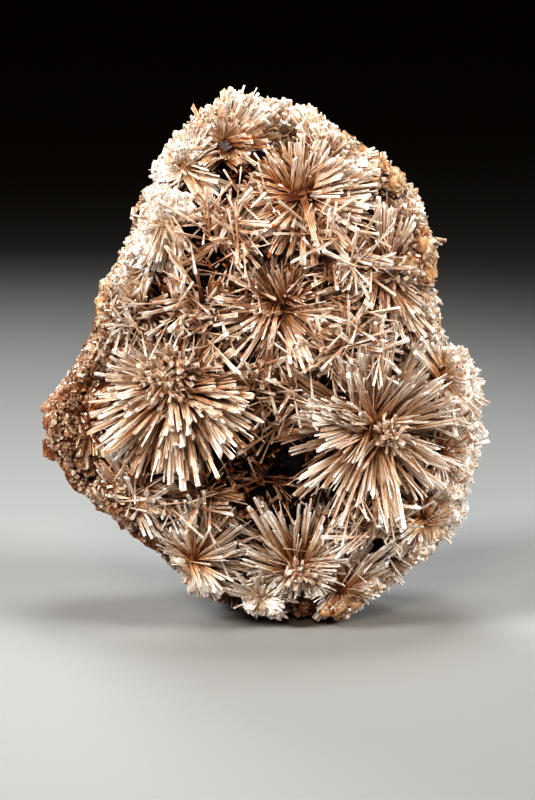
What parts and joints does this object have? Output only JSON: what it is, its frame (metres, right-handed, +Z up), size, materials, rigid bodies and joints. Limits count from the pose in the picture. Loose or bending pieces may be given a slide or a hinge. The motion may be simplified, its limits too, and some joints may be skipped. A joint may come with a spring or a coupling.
{
  "type": "aragonite sputnik cluster",
  "caption": "Upright mineral specimen: radiating sprays of cream bladed aragonite crystals grown on a lumpy rusty matrix, standing on a small flat spot.",
  "frame": {"origin": "bottom centre of the bounding box, at the height of the flat spot that it rests on", "axes": "+Z up along its height; the face with the large sprays looks along -Y"},
  "size_m": [0.0956, 0.066, 0.1181],
  "materials": {
    "iron_stained_matrix": "matte",
    "ivory_aragonite": "satin",
    "white_aragonite": "satin"
  },
  "bodies": {
    "root": {"rusty_matrix": "iron_stained_matrix", "big_left_spray": "ivory_aragonite", "right_centre_spray": "ivory_aragonite", "centre_spray": "ivory_aragonite", "upper_right_centre_spray": "ivory_aragonite", "top_centre_spray": "ivory_aragonite", "crown_spray": "ivory_aragonite", "white_edge_spray": "white_aragonite", "upper_right_spray": "ivory_aragonite", "tan_shoulder_spray": "ivory_aragonite", "left_shoulder_spray": "white_aragonite", "upper_hollow_spray": "ivory_aragonite", "upper_middle_spray": "ivory_aragonite", "left_middle_spray": "ivory_aragonite", "left_rim_spray": "ivory_aragonite", "left_waist_spray": "ivory_aragonite", "left_spike_spray": "ivory_aragonite", "left_tip_spray": "ivory_aragonite", "small_star_spray": "ivory_aragonite", "middle_spray": "ivory_aragonite", "hollow_spray": "ivory_aragonite", "lower_left_spray": "ivory_aragonite", "lower_middle_spray": "ivory_aragonite", "middle_right_spray": "ivory_aragonite", "right_shoulder_spray": "ivory_aragonite", "right_waist_spray": "ivory_aragonite", "right_edge_spray": "white_aragonite", "right_lower_spray": "white_aragonite", "lower_right_spray": "white_aragonite", "lower_right_rim_spray": "ivory_aragonite", "bottom_centre_spray": "ivory_aragonite", "bottom_left_spray": "ivory_aragonite", "bottom_middle_spray": "white_aragonite", "bottom_right_spray": "ivory_aragonite", "back_crown_spray": "ivory_aragonite", "back_shoulder_spray": "ivory_aragonite", "back_upper_spray": "ivory_aragonite", "back_upper_left_spray": "ivory_aragonite", "back_middle_spray": "ivory_aragonite", "back_left_spray": "ivory_aragonite", "back_right_spray": "ivory_aragonite", "back_centre_spray": "ivory_aragonite", "back_side_spray": "ivory_aragonite", "back_lower_spray": "ivory_aragonite", "back_lower_left_spray": "ivory_aragonite", "back_corner_spray": "ivory_aragonite", "back_foot_spray": "ivory_aragonite"}
  },
  "joints": []
}
